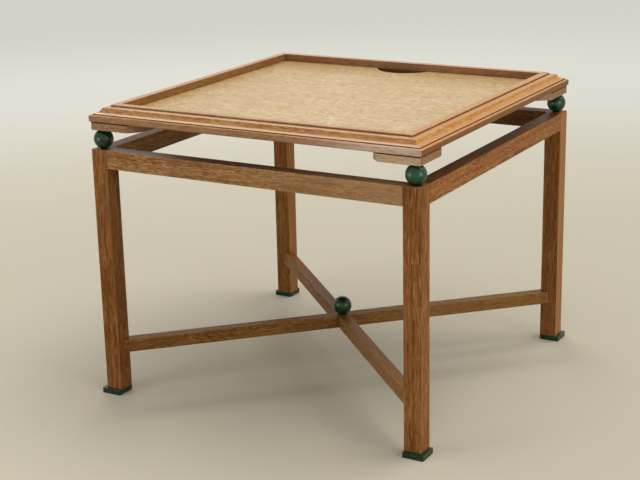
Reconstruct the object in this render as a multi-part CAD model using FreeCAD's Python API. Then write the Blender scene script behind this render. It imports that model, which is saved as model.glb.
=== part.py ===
import FreeCAD, Part
import math
import os

V = FreeCAD.Vector

# Overall size of the top, and how far the stand's faces lie inside its edge
TOP_SIDE = 900.0
STAND_INSET = 1.5

# Legs and foot plates
LEG_SIDE = 45.0
LEG_LENGTH = 629.0
LEG_ROUND = 1.5
FOOT_THICK = 14.0
FOOT_LEDGE = 9.0
FOOT_ROUND = 2.0
FOOT_SCREW_LENGTH = 40.0

# Top rails and their stub tenons
RAIL_HEIGHT = 46.0
RAIL_THICK = 38.0
RAIL_ROUND = 1.0
TENON_LENGTH = 18.0
TENON_THICK = 12.0
TENON_SHOULDER = 6.0

# Diagonal stretchers
STRETCHER_HEIGHT = 33.0
STRETCHER_WIDTH = 30.0
STRETCHER_RISE = 107.5
STRETCHER_ROUND = 1.0
STRETCHER_DOWEL_DIAMETER = 10.0
STRETCHER_DOWEL_IN_LEG = 20.0
STRETCHER_DOWEL_IN_RAIL = 24.0

# Turned balls and the studs through them
BALL_DIAMETER = 49.0
BALL_HEIGHT = 48.0
STUD_DIAMETER = 8.0
STUD_IN_LEG = 24.0
STUD_IN_PAD = 14.0
CENTRE_DOWEL_IN_BALL = 24.0
CENTRE_DOWEL_IN_CROSSING = 12.0

# Corner pads
PAD_THICK = 21.0
PAD_INSET = 3.0
PAD_FACE_LENGTH = 107.0
PAD_FLANK = 10.0
PAD_ROUND = 3.0
PAD_ARRIS_ROUND = 1.5
PAD_SCREW_ALONG = 76.0
PAD_SCREW_IN = 26.0
PAD_SCREW_LENGTH = 34.0

# Section of the frame moulding, measured in from its outer edge and up from its underside
BAND_HEIGHT = 16.5
BAND_TOP_ROUND = 4.5
BAND_FOOT_ROUND = 3.0
SHELF_WIDTH = 8.0
STEP_HEIGHT = 2.5
OGEE_WIDTH = 30.0
OGEE_HEIGHT = 14.5
OGEE_END_SLOPE = 8.0
OGEE_STEEP_SLOPE = 70.0
OGEE_SHELF_SHARE = 0.75
OGEE_CROWN_SHARE = 0.23
QUIRK_WIDTH = 2.0
QUIRK_DEPTH = 1.5
RIM_HEIGHT = 4.5
RIM_WIDTH = 19.0
RIM_ROUND = 1.0
MITRE_KEY_THICK = 4.0
MITRE_KEY_LENGTH = 34.0
MITRE_KEY_WIDTH = 26.0
MITRE_KEY_RISE = 9.0

# Bottom board let into the frame
BOARD_THICK = 6.0
BOARD_REBATE = 12.0
BOARD_GAP = 0.3
BOARD_SCREW_LENGTH = 13.0
BOARD_SCREW_SPREAD = 200.0

# Loose playing panel
PANEL_RECESS = 19.0
PANEL_GAP = 1.0
PANEL_LIFT_GAP = 0.3
PANEL_ROUND = 0.8
BAIZE_THICK = 1.0
BAIZE_MARGIN = 2.0
NOTCH_WIDTH = 154.0
NOTCH_DEPTH = 54.0
NOTCH_OFFSET = -12.0

# Screws
SCREW_DIAMETER = 4.0
SCREW_HEAD_DIAMETER = 8.0
SCREW_HEAD_DEPTH = 3.0
SMALL_SCREW_DIAMETER = 3.0
SMALL_SCREW_HEAD_DIAMETER = 6.0
SMALL_SCREW_HEAD_DEPTH = 2.0

# Heights that follow from the sizes above
LEG_TOP = FOOT_THICK + LEG_LENGTH
PAD_BOTTOM = LEG_TOP + BALL_HEIGHT
FRAME_BOTTOM = PAD_BOTTOM + PAD_THICK
BAND_TOP = BAND_HEIGHT
OGEE_FOOT = BAND_TOP + STEP_HEIGHT
OGEE_TOP = OGEE_FOOT + OGEE_HEIGHT
FRAME_HEIGHT = OGEE_TOP + RIM_HEIGHT
FRAME_TOP = FRAME_BOTTOM + FRAME_HEIGHT
BOARD_TOP = FRAME_BOTTOM + BOARD_THICK
PANEL_TOP = FRAME_TOP - PANEL_RECESS

# Widths that follow from the sizes above
TOP_HALF = TOP_SIDE / 2
STAND_HALF = TOP_HALF - STAND_INSET
LEG_INNER = STAND_HALF - LEG_SIDE
LEG_AXIS = STAND_HALF - LEG_SIDE / 2
OGEE_END = SHELF_WIDTH + OGEE_WIDTH
RIM_START = OGEE_END + QUIRK_WIDTH
MOULD_WIDTH = RIM_START + RIM_WIDTH
OPENING_HALF = TOP_HALF - MOULD_WIDTH
BOARD_HALF = OPENING_HALF + BOARD_REBATE - BOARD_GAP
PANEL_HALF = OPENING_HALF - PANEL_GAP

# The four corners and the four sides, going round from the front left
CORNERS = {
    "front_left": (-1, -1),
    "front_right": (1, -1),
    "back_right": (1, 1),
    "back_left": (-1, 1),
}
SIDES = {"front": 0, "right": 90, "back": 180, "left": 270}
UP = V(0, 0, 1)
ORIGIN = V(0, 0, 0)


def block(x0, x1, y0, y1, z0, z1):
    """A box between two x, two y and two z planes."""
    return Part.makeBox(x1 - x0, y1 - y0, z1 - z0, V(x0, y0, z0))


def turned(shape, angle):
    """A copy of the shape, turned about the table's upright axis."""
    copy = shape.copy()
    copy.rotate(ORIGIN, UP, angle)
    return copy


def drilled(shape, tools):
    """The shape with every tool cut out of it."""
    for tool in tools:
        shape = shape.cut(tool)
    return shape


def edges_along(shape, direction, wanted):
    """Straight edges that run along a direction and pass a test on their middle."""
    found = []
    for edge in shape.Edges:
        first, last = edge.Vertexes[0].Point, edge.Vertexes[-1].Point
        run = last - first
        if run.Length == 0 or run.cross(direction).Length > run.Length * math.sin(math.radians(1)):
            continue
        if wanted((first + last) / 2):
            found.append(edge)
    return found


def softened(shape, radius, direction, wanted=lambda middle: True):
    """The shape with its arrises along one direction rounded."""
    edges = edges_along(shape, direction, wanted)
    return shape.makeFillet(radius, edges)


def corner_angle(corner):
    """How far a corner lies round the table from the front left one."""
    return list(CORNERS).index(corner) * 90


def screw(diameter, head_diameter, head_depth, length):
    """A countersunk screw with its head at the bottom, point up."""
    head = Part.makeCone(head_diameter / 2, diameter / 2, head_depth)
    tip = Part.makeCone(diameter / 2, 0, diameter, V(0, 0, length - diameter))
    shank = Part.makeCylinder(diameter / 2, length - diameter - head_depth, V(0, 0, head_depth))
    return head.fuse([shank, tip]).removeSplitter()


def leg_blank():
    """The front left leg, before its mortises and holes."""
    leg = block(-STAND_HALF, -LEG_INNER, -STAND_HALF, -LEG_INNER, FOOT_THICK, LEG_TOP)
    return softened(leg, LEG_ROUND, UP)


def rail_blank():
    """The front rail with a stub tenon at each end."""
    bottom = LEG_TOP - RAIL_HEIGHT
    rail = block(-LEG_INNER, LEG_INNER, -STAND_HALF, -STAND_HALF + RAIL_THICK, bottom, LEG_TOP)
    rail = softened(rail, RAIL_ROUND, V(1, 0, 0))
    middle = -STAND_HALF + RAIL_THICK / 2
    reach = LEG_INNER + TENON_LENGTH
    tenon_bottom = bottom + TENON_SHOULDER
    tenon_top = LEG_TOP - TENON_SHOULDER
    half = TENON_THICK / 2
    tenons = block(-reach, reach, middle - half, middle + half, tenon_bottom, tenon_top)
    return rail.fuse(tenons).removeSplitter()


def foot_plate_blank():
    """The front left foot plate, flush inside and standing out on both outer sides."""
    outer = -STAND_HALF - FOOT_LEDGE
    plate = block(outer, -LEG_INNER, outer, -LEG_INNER, 0, FOOT_THICK)
    plate = softened(plate, FOOT_ROUND, UP)
    rim = [edge for edge in plate.Edges if edge.BoundBox.ZMin > FOOT_THICK / 2]
    return plate.makeFillet(FOOT_ROUND / 2, rim)


def foot_screw():
    """The screw up through the front left foot plate."""
    one = screw(SCREW_DIAMETER, SCREW_HEAD_DIAMETER, SCREW_HEAD_DEPTH, FOOT_SCREW_LENGTH)
    one.translate(V(-LEG_AXIS, -LEG_AXIS, 0))
    return one


def ball_stud():
    """The stud from the front left leg through its ball into the pad."""
    length = STUD_IN_LEG + BALL_HEIGHT + STUD_IN_PAD
    return Part.makeCylinder(STUD_DIAMETER / 2, length, V(-LEG_AXIS, -LEG_AXIS, LEG_TOP - STUD_IN_LEG))


def stretcher_dowel():
    """The dowel from the front left leg into its stretcher, along the diagonal."""
    arris = LEG_INNER * math.sqrt(2)
    length = STRETCHER_DOWEL_IN_LEG + STRETCHER_DOWEL_IN_RAIL
    height = STRETCHER_RISE + STRETCHER_HEIGHT / 2
    dowel = Part.makeCylinder(STRETCHER_DOWEL_DIAMETER / 2, length)
    dowel.rotate(ORIGIN, V(0, 1, 0), 90)
    dowel.translate(V(-arris - STRETCHER_DOWEL_IN_LEG, 0, height))
    return turned(dowel, 45)


def corner_ball():
    """The front left ball, flattened a little where it bears."""
    middle = V(-LEG_AXIS, -LEG_AXIS, LEG_TOP + BALL_HEIGHT / 2)
    ball = Part.makeSphere(BALL_DIAMETER / 2, middle)
    reach = BALL_DIAMETER
    seat = block(-LEG_AXIS - reach, -LEG_AXIS + reach, -LEG_AXIS - reach, -LEG_AXIS + reach, LEG_TOP, PAD_BOTTOM)
    return ball.common(seat).cut(ball_stud())


def crossing_dowel():
    """The dowel from the crossing of the stretchers up into the centre ball."""
    top = STRETCHER_RISE + STRETCHER_HEIGHT
    length = CENTRE_DOWEL_IN_CROSSING + CENTRE_DOWEL_IN_BALL
    return Part.makeCylinder(STUD_DIAMETER / 2, length, V(0, 0, top - CENTRE_DOWEL_IN_CROSSING))


def centre_ball():
    """The ball on the crossing, flattened underneath."""
    top = STRETCHER_RISE + STRETCHER_HEIGHT
    ball = Part.makeSphere(BALL_DIAMETER / 2, V(0, 0, top + BALL_HEIGHT / 2))
    reach = BALL_DIAMETER
    seat = block(-reach, reach, -reach, reach, top, top + BALL_DIAMETER)
    return ball.common(seat).cut(crossing_dowel())


def stretcher(angle, lap_is_on_top, legs):
    """A diagonal stretcher, halved at the crossing and notched round two legs."""
    reach = LEG_INNER * math.sqrt(2) + STRETCHER_WIDTH / 2
    half = STRETCHER_WIDTH / 2
    bottom = STRETCHER_RISE
    top = STRETCHER_RISE + STRETCHER_HEIGHT
    middle = (bottom + top) / 2
    bar = block(-reach, reach, -half, half, bottom, top)
    bar = softened(bar, STRETCHER_ROUND, V(1, 0, 0))
    if lap_is_on_top:
        lap = block(-half, half, -half, half, middle, top)
    else:
        lap = block(-half, half, -half, half, bottom, middle)
    return drilled(turned(bar.cut(lap), angle), legs)


def pad_outline():
    """Plan of the front left pad: a right angle outside, slanted flanks and a half round inside."""
    edge = -TOP_HALF + PAD_INSET
    face = edge + PAD_FACE_LENGTH
    tip = face + PAD_FLANK
    corner = V(edge, edge, PAD_BOTTOM)
    face_end = V(face, edge, PAD_BOTTOM)
    side_end = V(edge, face, PAD_BOTTOM)
    right = V(tip, edge + PAD_FLANK, PAD_BOTTOM)
    left = V(edge + PAD_FLANK, tip, PAD_BOTTOM)
    lines = [(side_end, corner), (corner, face_end), (face_end, right)]
    edges = [Part.makeLine(a, b) for a, b in lines]
    edges.append(Part.Arc(right, V(tip, tip, PAD_BOTTOM), left).toShape())
    edges.append(Part.makeLine(left, side_end))
    return Part.Wire(edges)


def corner_pad():
    """The front left corner pad, before its holes."""
    pad = Part.Face(pad_outline()).extrude(V(0, 0, PAD_THICK))
    outer = -TOP_HALF + PAD_INSET
    near = outer + PAD_FACE_LENGTH + PAD_FLANK / 2
    pad = softened(pad, PAD_ROUND, UP, lambda middle: middle.x < near and middle.y < near)
    arrises = [edge for edge in pad.Edges if edge.BoundBox.ZLength < PAD_THICK / 2]
    return pad.makeFillet(PAD_ARRIS_ROUND, arrises)


def pad_screws():
    """The two screws up through the front left pad into the frame."""
    edge = -TOP_HALF + PAD_INSET
    places = [(PAD_SCREW_ALONG, PAD_SCREW_IN), (PAD_SCREW_IN, PAD_SCREW_ALONG)]
    screws = []
    for along, across in places:
        one = screw(SCREW_DIAMETER, SCREW_HEAD_DIAMETER, SCREW_HEAD_DEPTH, PAD_SCREW_LENGTH)
        one.translate(V(edge + along, edge + across, PAD_BOTTOM))
        screws.append(one)
    return screws


def quarter(start, end, corner):
    """A quarter round from start to end, bulging towards the corner."""
    middle = start + end - corner
    radius = (start - middle).Length
    out = corner - middle
    out.normalize()
    return Part.Arc(start, middle + out * radius, end).toShape()


def moulding_section():
    """Section of the front moulding in the plane across its run."""
    def at(inward, up):
        return V(-TOP_HALF, -TOP_HALF + inward, FRAME_BOTTOM + up)

    def normal(slope):
        return V(0, -math.sin(slope), math.cos(slope))

    # The ogee leaves its top and reaches its foot on straight runs of the same small slope. Between
    # them a tight crown turns down to the steep middle, and a wide cove turns out again.
    slope = math.radians(OGEE_END_SLOPE)
    steep = math.radians(OGEE_STEEP_SLOPE)
    between = (slope + steep) / 2
    forward = V(0, -math.cos(slope), -math.sin(slope))
    across = math.sin(steep) - math.sin(slope)
    down = math.cos(slope) - math.cos(steep)
    turn = 1 - math.cos(steep - slope)
    straight = (OGEE_WIDTH * down - OGEE_HEIGHT * across) / turn
    radius = (OGEE_HEIGHT * math.cos(slope) - OGEE_WIDTH * math.sin(slope)) / turn
    crown_radius = radius * OGEE_CROWN_SHARE
    cove_radius = radius - crown_radius
    top = at(OGEE_END, OGEE_TOP)
    shelf_end = top + forward * (straight * OGEE_SHELF_SHARE)
    crown_middle = shelf_end - normal(slope) * crown_radius
    waist = crown_middle + normal(steep) * crown_radius
    cove_middle = waist + normal(steep) * cove_radius
    cove_end = cove_middle - normal(slope) * cove_radius
    foot = at(SHELF_WIDTH, OGEE_FOOT)

    # A narrow quirk is sunk at the foot of each of the two steps.
    wall = MOULD_WIDTH
    seat = MOULD_WIDTH - BOARD_REBATE
    low_quirk = BAND_TOP - QUIRK_DEPTH
    high_quirk = OGEE_TOP - QUIRK_DEPTH
    inner = [at(wall, FRAME_HEIGHT - RIM_ROUND), at(wall, BOARD_THICK), at(seat, BOARD_THICK), at(seat, 0)]
    inner.append(at(BAND_FOOT_ROUND, 0))
    shelf = [at(BAND_TOP_ROUND, BAND_TOP), at(SHELF_WIDTH - QUIRK_WIDTH, BAND_TOP)]
    shelf += [at(SHELF_WIDTH - QUIRK_WIDTH, low_quirk), at(SHELF_WIDTH, low_quirk), foot]
    rim = [top, at(OGEE_END, high_quirk), at(RIM_START, high_quirk), at(RIM_START, FRAME_HEIGHT - RIM_ROUND)]
    rim_start = at(RIM_START + RIM_ROUND, FRAME_HEIGHT)
    rim_end = at(wall - RIM_ROUND, FRAME_HEIGHT)

    edges = [Part.makeLine(a, b) for a, b in zip(inner[:-1], inner[1:])]
    edges.append(quarter(at(BAND_FOOT_ROUND, 0), at(0, BAND_FOOT_ROUND), at(0, 0)))
    edges.append(Part.makeLine(at(0, BAND_FOOT_ROUND), at(0, BAND_TOP - BAND_TOP_ROUND)))
    edges.append(quarter(at(0, BAND_TOP - BAND_TOP_ROUND), shelf[0], at(0, BAND_TOP)))
    edges += [Part.makeLine(a, b) for a, b in zip(shelf[:-1], shelf[1:])]
    edges.append(Part.makeLine(foot, cove_end))
    edges.append(Part.Arc(cove_end, cove_middle - normal(between) * cove_radius, waist).toShape())
    edges.append(Part.Arc(waist, crown_middle + normal(between) * crown_radius, shelf_end).toShape())
    edges.append(Part.makeLine(shelf_end, top))
    edges += [Part.makeLine(a, b) for a, b in zip(rim[:-1], rim[1:])]
    edges.append(quarter(rim[-1], rim_start, at(RIM_START, FRAME_HEIGHT)))
    edges.append(Part.makeLine(rim_start, rim_end))
    edges.append(quarter(rim_end, inner[0], at(wall, FRAME_HEIGHT)))
    return Part.Face(Part.Wire(edges))


def mitre_wedge():
    """Everything in front of the two diagonals of the table: the space of the front moulding."""
    low = FRAME_BOTTOM - FRAME_HEIGHT
    corners = [V(0, 0, low), V(-TOP_SIDE, -TOP_SIDE, low), V(TOP_SIDE, -TOP_SIDE, low), V(0, 0, low)]
    return Part.Face(Part.makePolygon(corners)).extrude(V(0, 0, FRAME_HEIGHT * 3))


def mitre_key():
    """The loose tongue inside the front left mitre, lying flat across it."""
    low = FRAME_BOTTOM + MITRE_KEY_RISE
    middle = (TOP_HALF - MOULD_WIDTH / 2) * math.sqrt(2)
    half = MITRE_KEY_LENGTH / 2
    width = MITRE_KEY_WIDTH / 2
    key = block(-middle - half, -middle + half, -width, width, low, low + MITRE_KEY_THICK)
    return turned(key, 45)


def frame_moulding():
    """The front length of moulding, mitred at both ends."""
    run = moulding_section().extrude(V(TOP_SIDE, 0, 0))
    return run.common(mitre_wedge())


def board_screws():
    """The two small screws through the front edge of the bottom board."""
    screws = []
    line = -OPENING_HALF - BOARD_REBATE / 2
    for x in (-BOARD_SCREW_SPREAD, BOARD_SCREW_SPREAD):
        one = screw(SMALL_SCREW_DIAMETER, SMALL_SCREW_HEAD_DIAMETER, SMALL_SCREW_HEAD_DEPTH, BOARD_SCREW_LENGTH)
        one.translate(V(x, line, FRAME_BOTTOM))
        screws.append(one)
    return screws


def notch(low, high):
    """The half-moon finger notch at the far edge of the panel."""
    half = NOTCH_WIDTH / 2
    radius = (half * half + NOTCH_DEPTH * NOTCH_DEPTH) / (2 * NOTCH_DEPTH)
    middle = PANEL_HALF - NOTCH_DEPTH + radius
    return Part.makeCylinder(radius, high - low, V(NOTCH_OFFSET, middle, low))


def playing_panel():
    """The loose oak panel with its finger notch."""
    low = BOARD_TOP + PANEL_LIFT_GAP + BAIZE_THICK
    panel = block(-PANEL_HALF, PANEL_HALF, -PANEL_HALF, PANEL_HALF, low, PANEL_TOP)
    panel = panel.cut(notch(low, PANEL_TOP))
    rim = [edge for edge in panel.Edges if edge.BoundBox.ZMin > PANEL_TOP - PANEL_ROUND]
    return panel.makeFillet(PANEL_ROUND, rim)


def panel_baize():
    """The baize glued to the underside of the panel."""
    low = BOARD_TOP + PANEL_LIFT_GAP
    half = PANEL_HALF - BAIZE_MARGIN
    sheet = block(-half, half, -half, half, low, low + BAIZE_THICK)
    return sheet.cut(notch(low, low + BAIZE_THICK))


def build():
    """Every node of the table by name."""
    nodes = {}
    leg = leg_blank()
    leg_shapes = [turned(leg, angle) for angle in SIDES.values()]
    rails = {side: turned(rail_blank(), angle) for side, angle in SIDES.items()}
    dowels = [turned(stretcher_dowel(), angle) for angle in SIDES.values()]
    studs = [turned(ball_stud(), angle) for angle in SIDES.values()]
    foot_screws = [turned(foot_screw(), angle) for angle in SIDES.values()]

    for corner in CORNERS:
        number = list(CORNERS).index(corner)
        tools = list(rails.values()) + [dowels[number], studs[number], foot_screws[number]]
        nodes["leg_" + corner] = drilled(leg_shapes[number], tools)
    for side, rail in rails.items():
        nodes["rail_" + side] = rail
    for corner in CORNERS:
        number = list(CORNERS).index(corner)
        plate = turned(foot_plate_blank(), corner_angle(corner))
        nodes["foot_plate_" + corner] = plate.cut(foot_screws[number])
    nodes["foot_plate_screws"] = Part.makeCompound(foot_screws)

    crossing = crossing_dowel()
    nodes["stretcher_lower"] = drilled(stretcher(45, True, leg_shapes), dowels)
    nodes["stretcher_upper"] = drilled(stretcher(135, False, leg_shapes), dowels + [crossing])
    nodes["stretcher_dowels"] = Part.makeCompound(dowels)
    for corner in CORNERS:
        nodes["ball_" + corner] = turned(corner_ball(), corner_angle(corner))
    nodes["ball_studs"] = Part.makeCompound(studs)
    nodes["ball_centre"] = centre_ball()
    nodes["ball_centre_dowel"] = crossing

    screws_by_corner = {}
    for corner in CORNERS:
        angle = corner_angle(corner)
        screws_by_corner[corner] = [turned(one, angle) for one in pad_screws()]
    all_pad_screws = [one for group in screws_by_corner.values() for one in group]
    for corner in CORNERS:
        number = list(CORNERS).index(corner)
        pad = turned(corner_pad(), corner_angle(corner))
        nodes["corner_pad_" + corner] = drilled(pad, screws_by_corner[corner] + [studs[number]])
    nodes["corner_pad_screws"] = Part.makeCompound(all_pad_screws)

    keys = [turned(mitre_key(), angle) for angle in SIDES.values()]
    small_screws = {}
    for side, angle in SIDES.items():
        small_screws[side] = [turned(one, angle) for one in board_screws()]
    all_board_screws = [one for group in small_screws.values() for one in group]
    for side, angle in SIDES.items():
        length = turned(frame_moulding(), angle)
        nodes["frame_" + side] = drilled(length, keys + all_pad_screws + small_screws[side])
    nodes["mitre_keys"] = Part.makeCompound(keys)
    board = block(-BOARD_HALF, BOARD_HALF, -BOARD_HALF, BOARD_HALF, FRAME_BOTTOM, BOARD_TOP)
    nodes["bottom_board"] = drilled(board, all_board_screws)
    nodes["bottom_board_screws"] = Part.makeCompound(all_board_screws)

    nodes["playing_panel"] = playing_panel()
    nodes["panel_baize"] = panel_baize()
    return nodes


def main():
    """Write one STEP file for each node and print its size."""
    os.makedirs("parts", exist_ok=True)
    for name, shape in build().items():
        shape.exportStep("parts/" + name + ".step")
        box = shape.BoundBox
        sizes = (box.XLength, box.YLength, box.ZLength)
        text = " x ".join("%.1f" % size for size in sizes)
        print("%-26s solids %2d  %s mm  valid %s" % (name, len(shape.Solids), text, shape.isValid()))


main()
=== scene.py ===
# %% [markdown]
# # A games table in oak and green paint
#
# The table stands on four straight oak legs. A moulded oak frame floats above the top rails on
# four painted balls, and a loose pale panel lies in it like the bottom of a tray. The solids come
# from the CAD model, which already has every real joint. What is left to do here is what the eye
# judges first: how oak looks along and across its grain, how wax and old paint shine, and how soft
# room light falls on them.
#
# It gives every node as an object in metres.

import math

import bmesh
import bpy
from mathutils import Euler, Matrix, Vector


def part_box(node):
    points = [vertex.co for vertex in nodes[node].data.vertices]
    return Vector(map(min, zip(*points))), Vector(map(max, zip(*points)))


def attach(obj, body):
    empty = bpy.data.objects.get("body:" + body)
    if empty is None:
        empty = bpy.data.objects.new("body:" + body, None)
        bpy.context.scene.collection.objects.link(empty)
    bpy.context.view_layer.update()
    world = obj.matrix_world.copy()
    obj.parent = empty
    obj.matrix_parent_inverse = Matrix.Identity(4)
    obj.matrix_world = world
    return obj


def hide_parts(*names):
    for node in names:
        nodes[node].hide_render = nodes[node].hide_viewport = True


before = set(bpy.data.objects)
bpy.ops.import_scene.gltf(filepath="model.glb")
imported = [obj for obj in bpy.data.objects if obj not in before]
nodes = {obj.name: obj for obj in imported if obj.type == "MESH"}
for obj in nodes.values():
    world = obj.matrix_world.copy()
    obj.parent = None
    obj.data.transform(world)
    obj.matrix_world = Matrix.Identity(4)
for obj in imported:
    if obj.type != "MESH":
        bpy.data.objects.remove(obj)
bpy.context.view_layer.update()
print("nodes loaded:", len(nodes))

# %% [markdown]
# ## The camera
#
# The camera stands where the photographer stood: to the right of the front, a little above the
# table, and tilted by about one degree. Its place was found by fitting the known corners of the
# table to their places in the picture. A camera in Blender looks along its own minus Z, so the
# three directions right, up and back are the columns of its matrix.

# %% Place the camera
CAMERA_PLACE = Vector((1.7817, -3.2108, 1.4559))
CAMERA_TARGET = Vector((-0.2749, 0.3663, 0.2091))
CAMERA_ROLL = -0.02215
CAMERA_LENS = 82.2


def into_scene(name, data):
    """A new object for the data, linked into the scene."""
    thing = bpy.data.objects.new(name, data)
    bpy.context.scene.collection.objects.link(thing)
    return thing


def camera_matrix(place, target, roll):
    """A matrix that looks from place to target, turned by roll about the line of sight."""
    forward = (target - place).normalized()
    right = forward.cross(Vector((0, 0, 1))).normalized()
    up = right.cross(forward)
    rolled_right = right * math.cos(roll) + up * math.sin(roll)
    rolled_up = up * math.cos(roll) - right * math.sin(roll)
    turn = Matrix((rolled_right, rolled_up, -forward)).transposed()
    return Matrix.Translation(place) @ turn.to_4x4()


camera_data = bpy.data.cameras.new("photo_camera")
camera_data.lens = CAMERA_LENS
camera = into_scene("photo_camera", camera_data)
camera.matrix_world = camera_matrix(CAMERA_PLACE, CAMERA_TARGET, CAMERA_ROLL)
bpy.context.scene.camera = camera
print("camera stands", round(CAMERA_PLACE.length, 2), "m from the table")

# %% [markdown]
# ## Colours and nodes
#
# Colours are easiest to choose as the hex values of a paint chip, but a shader works in linear
# light, so one function turns the first into the second. Building a material in code repeats the
# same few steps for every node: add it, set it, link it. One small function does all three. The last
# of them has a function of its own, because it is also how a shader that is there already gets its
# values and links.

# %% Helpers for colours and nodes
MM = 0.001


def linear(hex_colour):
    """The linear colour of an sRGB hex value, with alpha 1."""
    channels = [int(hex_colour[i:i + 2], 16) / 255 for i in (1, 3, 5)]
    light = [c / 12.92 if c <= 0.04045 else ((c + 0.055) / 1.055) ** 2.4 for c in channels]
    return (*light, 1.0)


def fill(tree, node, inputs):
    """Fill a node's inputs with values or links."""
    for name, value in inputs.items():
        if isinstance(value, bpy.types.NodeSocket):
            tree.links.new(value, node.inputs[name])
        else:
            node.inputs[name].default_value = value


def add(tree, kind, inputs=None, **settings):
    """Add a node, set its properties, and fill its inputs with values or links."""
    node = tree.nodes.new(kind)
    for name, value in settings.items():
        setattr(node, name, value)
    fill(tree, node, inputs or {})
    return node


print("white is", [round(c, 2) for c in linear("#ffffff")])

# %% [markdown]
# ## Finishes as layers
#
# A finish is easiest to think of as a maker builds it: a ground colour, then stains, wax and wear
# laid over it one after another, each only where its mask is white. One function starts a material
# with its shader, and one lays the layers.

# %% Start a material and lay colours over each other
# A Mix node has sockets for numbers, vectors and colours. These are the ones for colours.
COLOUR_A = 6
COLOUR_B = 7
COLOUR_RESULT = 2


def new_material(name):
    """An empty material with nodes, and its Principled shader already on the output."""
    material = bpy.data.materials.new(name)
    material.use_nodes = True
    tree = material.node_tree
    tree.nodes.clear()
    shader = add(tree, "ShaderNodeBsdfPrincipled")
    add(tree, "ShaderNodeOutputMaterial", {"Surface": shader.outputs["BSDF"]})
    return material, tree, shader


def layered(tree, ground, layers):
    """The ground colour with each (mask, strength, colour) laid over it in turn."""
    colour = linear(ground)
    for mask, strength, layer in layers:
        share = {0: mask, 1: strength}
        amount = add(tree, "ShaderNodeMath", share, operation="MULTIPLY").outputs[0]
        blend = {0: amount, COLOUR_A: colour, COLOUR_B: linear(layer)}
        colour = add(tree, "ShaderNodeMix", blend, data_type="RGBA").outputs[COLOUR_RESULT]
    return colour


print("layers are laid with", layered.__name__)

# %% [markdown]
# ## The figure of oak
#
# A board is a slice of a log. Its pattern comes from the growth rings, so it shows arches on a
# face that lies along the rings and straight lines on a face that cuts across them. The easiest
# way to get both right at once is to draw the log itself: the distance from its heart gives the
# ring, and each piece is cut out of it wherever it happens to lie.
#
# Oak has more marks than that. Its rays are sheets of cells that run out from the heart, and they
# show as short pale flecks that ripple along the grain. Its pores are long open cells that show as
# dark strokes between the flecks. Real pores are a quarter of a millimetre wide, too fine for a
# picture in which a pixel is two millimetres, so they are drawn several times too wide.

# %% Helpers that draw marks along the grain
def stretched(tree, place, size):
    """The place counted in marks, each as long along the grain and as wide across it as the size."""
    length, width = size
    scaling = {0: place, 1: (1 / length, 1 / width, 1 / width)}
    return add(tree, "ShaderNodeVectorMath", scaling, operation="MULTIPLY").outputs[0]


def grain_marks(tree, place, size, spread, detail=2.0):
    """Marks as long and as wide as the size, 0 below the spread and 1 above it."""
    pattern = {"Vector": stretched(tree, place, size), "Scale": 1.0, "Detail": detail, "Roughness": 0.6}
    noise = add(tree, "ShaderNodeTexNoise", pattern).outputs["Fac"]
    low, high = spread
    sharp = {"Value": noise, "From Min": low, "From Max": high}
    return add(tree, "ShaderNodeMapRange", sharp, interpolation_type="SMOOTHSTEP").outputs["Result"]


def round_marks(tree, size, spread, detail=2.0):
    """Marks all over a piece that are as wide as they are long."""
    place = add(tree, "ShaderNodeTexCoord").outputs["Object"]
    return grain_marks(tree, place, (size, size), spread, detail)


def bent_grain(tree, place, size, reach):
    """The place pushed across the grain by a slow noise, so that straight lines wander."""
    pattern = {"Vector": stretched(tree, place, size), "Scale": 1.0, "Detail": 1.0}
    noise = add(tree, "ShaderNodeTexNoise", pattern).outputs["Color"]
    centring = {0: noise, 1: (0.5, 0.5, 0.5)}
    centred = add(tree, "ShaderNodeVectorMath", centring, operation="SUBTRACT").outputs[0]
    across = {0: centred, 1: (0.0, reach, reach)}
    push = add(tree, "ShaderNodeVectorMath", across, operation="MULTIPLY").outputs[0]
    return add(tree, "ShaderNodeVectorMath", {0: place, 1: push}, operation="ADD").outputs[0]


print("helpers for marks:", grain_marks.__name__, round_marks.__name__, bent_grain.__name__)

# %% [markdown]
# One node group holds the figure, and most oak materials use it, each with its own place in the
# log. The legs come from straighter stuff, whose strokes are longer and softer, and the loose panel
# is cut on the quarter, where the flecks are several times as broad. Both get a group of their own
# from the same function. A mark's size is its length along the grain and its width across. Its
# spread says how much of the noise turns into marks, and how soft their edges are.

# %% Build the oak figures as node groups
RING_WIDTH = 5 * MM
RING_SPREAD = (0.34, 0.66)
STREAK_SIZE = (420 * MM, 7 * MM)
STREAK_SPREAD = (0.38, 0.62)
STROKE_SPREAD = (0.46, 0.60)
FLECK_SPREAD = (0.48, 0.60)
PORE_SIZE = (10 * MM, 1.5 * MM)
PORE_SPREAD = (0.52, 0.66)
PATCH_SIZE = (90 * MM, 30 * MM)
PATCH_SPREAD = (0.25, 0.60)
WANDER_SIZE = (330 * MM, 70 * MM)
WANDER_REACH = 26 * MM
RIPPLE_SIZE = (28 * MM, 18 * MM)

# Each cut of oak: the size of its strokes, the size of its flecks, and how far both ripple.
PLAIN_CUT = ((19 * MM, 1.6 * MM), (17 * MM, 1.7 * MM), 1.4 * MM)
LONG_CUT = ((48 * MM, 1.8 * MM), (40 * MM, 2.0 * MM), 2.4 * MM)
QUARTERED_CUT = ((26 * MM, 7 * MM), (15 * MM, 6.5 * MM), 10 * MM)


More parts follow.
